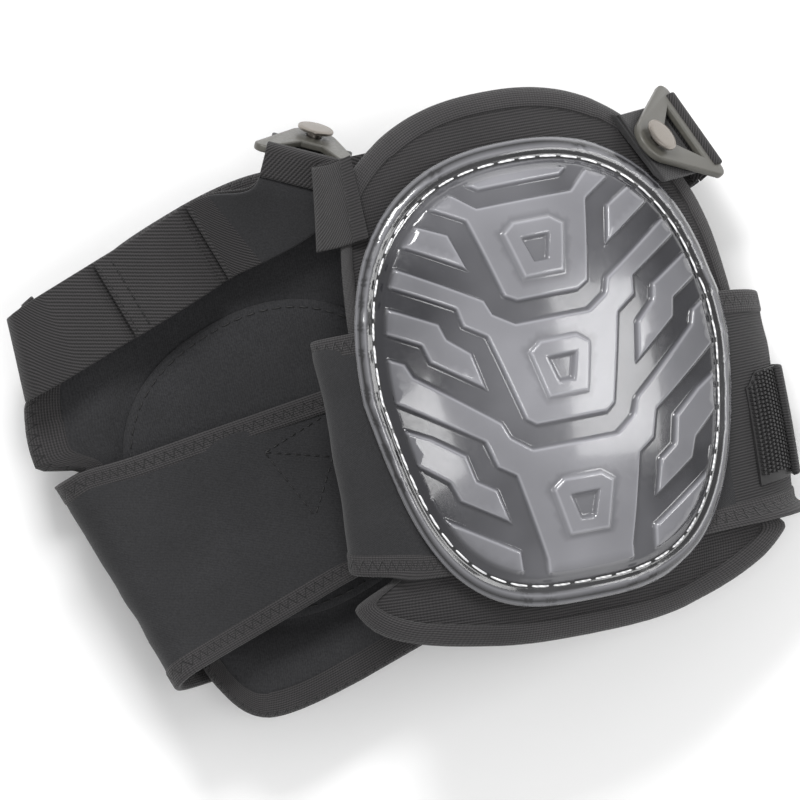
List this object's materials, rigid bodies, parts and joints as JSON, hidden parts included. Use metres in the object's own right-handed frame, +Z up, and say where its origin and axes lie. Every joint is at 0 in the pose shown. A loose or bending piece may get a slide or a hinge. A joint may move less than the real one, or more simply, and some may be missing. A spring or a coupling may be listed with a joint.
{
  "type": "knee pads",
  "caption": "Pair of gel knee pads with ribbed clear caps, padded fabric bodies, a wide calf band closed by a hook-and-loop tab and an elastic thigh strap hooked by a ring over a stud.",
  "frame": {"origin": "middle of the pair's bounding box, on the surface the pads lie on", "axes": "+X along the pair's length from the right pad to the left pad, +Y towards the thigh straps, +Z up"},
  "size_m": [0.3441, 0.2787, 0.1319],
  "materials": {
    "clear_tpu": "translucent, satin",
    "grey_gel": "translucent gel",
    "oxford_fabric": "ribbed woven",
    "foam": "closed-cell foam",
    "neoprene": "brushed knit face",
    "binding_tape": "ribbed tape",
    "elastic_webbing": "twill elastic",
    "webbing": "flat webbing",
    "hook_tape": "moulded hooks",
    "white_thread": "bonded thread",
    "steel": "satin",
    "ring_plastic": "satin"
  },
  "bodies": {
    "right_pad": {"right_cap": "clear_tpu", "right_cap_thread": "white_thread", "right_gel_core": "grey_gel", "right_front_cover": "oxford_fabric", "right_foam_pad": "foam", "right_knee_cushion": "neoprene", "right_lining": "neoprene", "right_edge_binding": "binding_tape", "right_calf_band": "neoprene", "right_calf_upper_binding": "binding_tape", "right_calf_lower_binding": "binding_tape", "right_calf_hook_patch": "hook_tape", "right_calf_tab": "elastic_webbing", "right_thigh_anchor": "oxford_fabric", "right_thigh_strap": "elastic_webbing", "right_thigh_strap_return": "elastic_webbing", "right_stud_tab": "webbing", "right_stud_washer": "steel", "right_stud_shank": "steel", "right_stud_head": "steel"},
    "left_pad": {"left_cap": "clear_tpu", "left_cap_thread": "white_thread", "left_gel_core": "grey_gel", "left_front_cover": "oxford_fabric", "left_foam_pad": "foam", "left_knee_cushion": "neoprene", "left_lining": "neoprene", "left_edge_binding": "binding_tape", "left_calf_band": "neoprene", "left_calf_upper_binding": "binding_tape", "left_calf_lower_binding": "binding_tape", "left_calf_hook_patch": "hook_tape", "left_thigh_anchor": "oxford_fabric", "left_thigh_strap": "elastic_webbing", "left_thigh_strap_return": "elastic_webbing", "left_thigh_strap_end": "elastic_webbing", "left_thigh_hook_patch": "hook_tape", "left_stud_tab": "webbing", "left_stud_washer": "steel", "left_stud_shank": "steel", "left_stud_head": "steel"},
    "left_buckle": {"left_ring": "ring_plastic", "left_ring_loop": "elastic_webbing"},
    "right_buckle": {"right_ring": "ring_plastic", "right_ring_loop": "elastic_webbing"},
    "left_calf_flap": {"left_calf_tab": "elastic_webbing"},
    "right_thigh_flap": {"right_thigh_strap_end": "elastic_webbing", "right_thigh_hook_patch": "hook_tape"}
  },
  "joints": [
    {"name": "left_pad_lift", "type": "slide", "parent": "right_pad", "child": "left_pad", "axis": [0, 0, 1], "range_m": [0, 0.15]},
    {"name": "left_buckle_swivel", "type": "hinge", "parent": "left_pad", "child": "left_buckle", "pos_m": [0.11225, 0.11284, 0.06781], "axis": [0.6716, 0.5817, 0.4589], "range_deg": [-10, 10]},
    {"name": "right_buckle_swivel", "type": "hinge", "parent": "right_pad", "child": "right_buckle", "pos_m": [-0.03558, 0.1126, 0.0405], "axis": [0.2337, 0.9372, 0.2588], "range_deg": [-10, 10]},
    {"name": "left_calf_tab_peel", "type": "hinge", "parent": "left_pad", "child": "left_calf_flap", "pos_m": [0.15177, -0.00647, 0.00604], "axis": [-0.1528, 0.9829, 0.1032], "range_deg": [0, 60]},
    {"name": "right_thigh_end_peel", "type": "hinge", "parent": "right_pad", "child": "right_thigh_flap", "pos_m": [-0.08304, 0.06908, 0.05601], "axis": [-0.5131, 0.8539, 0.0872], "range_deg": [0, 100]}
  ]
}
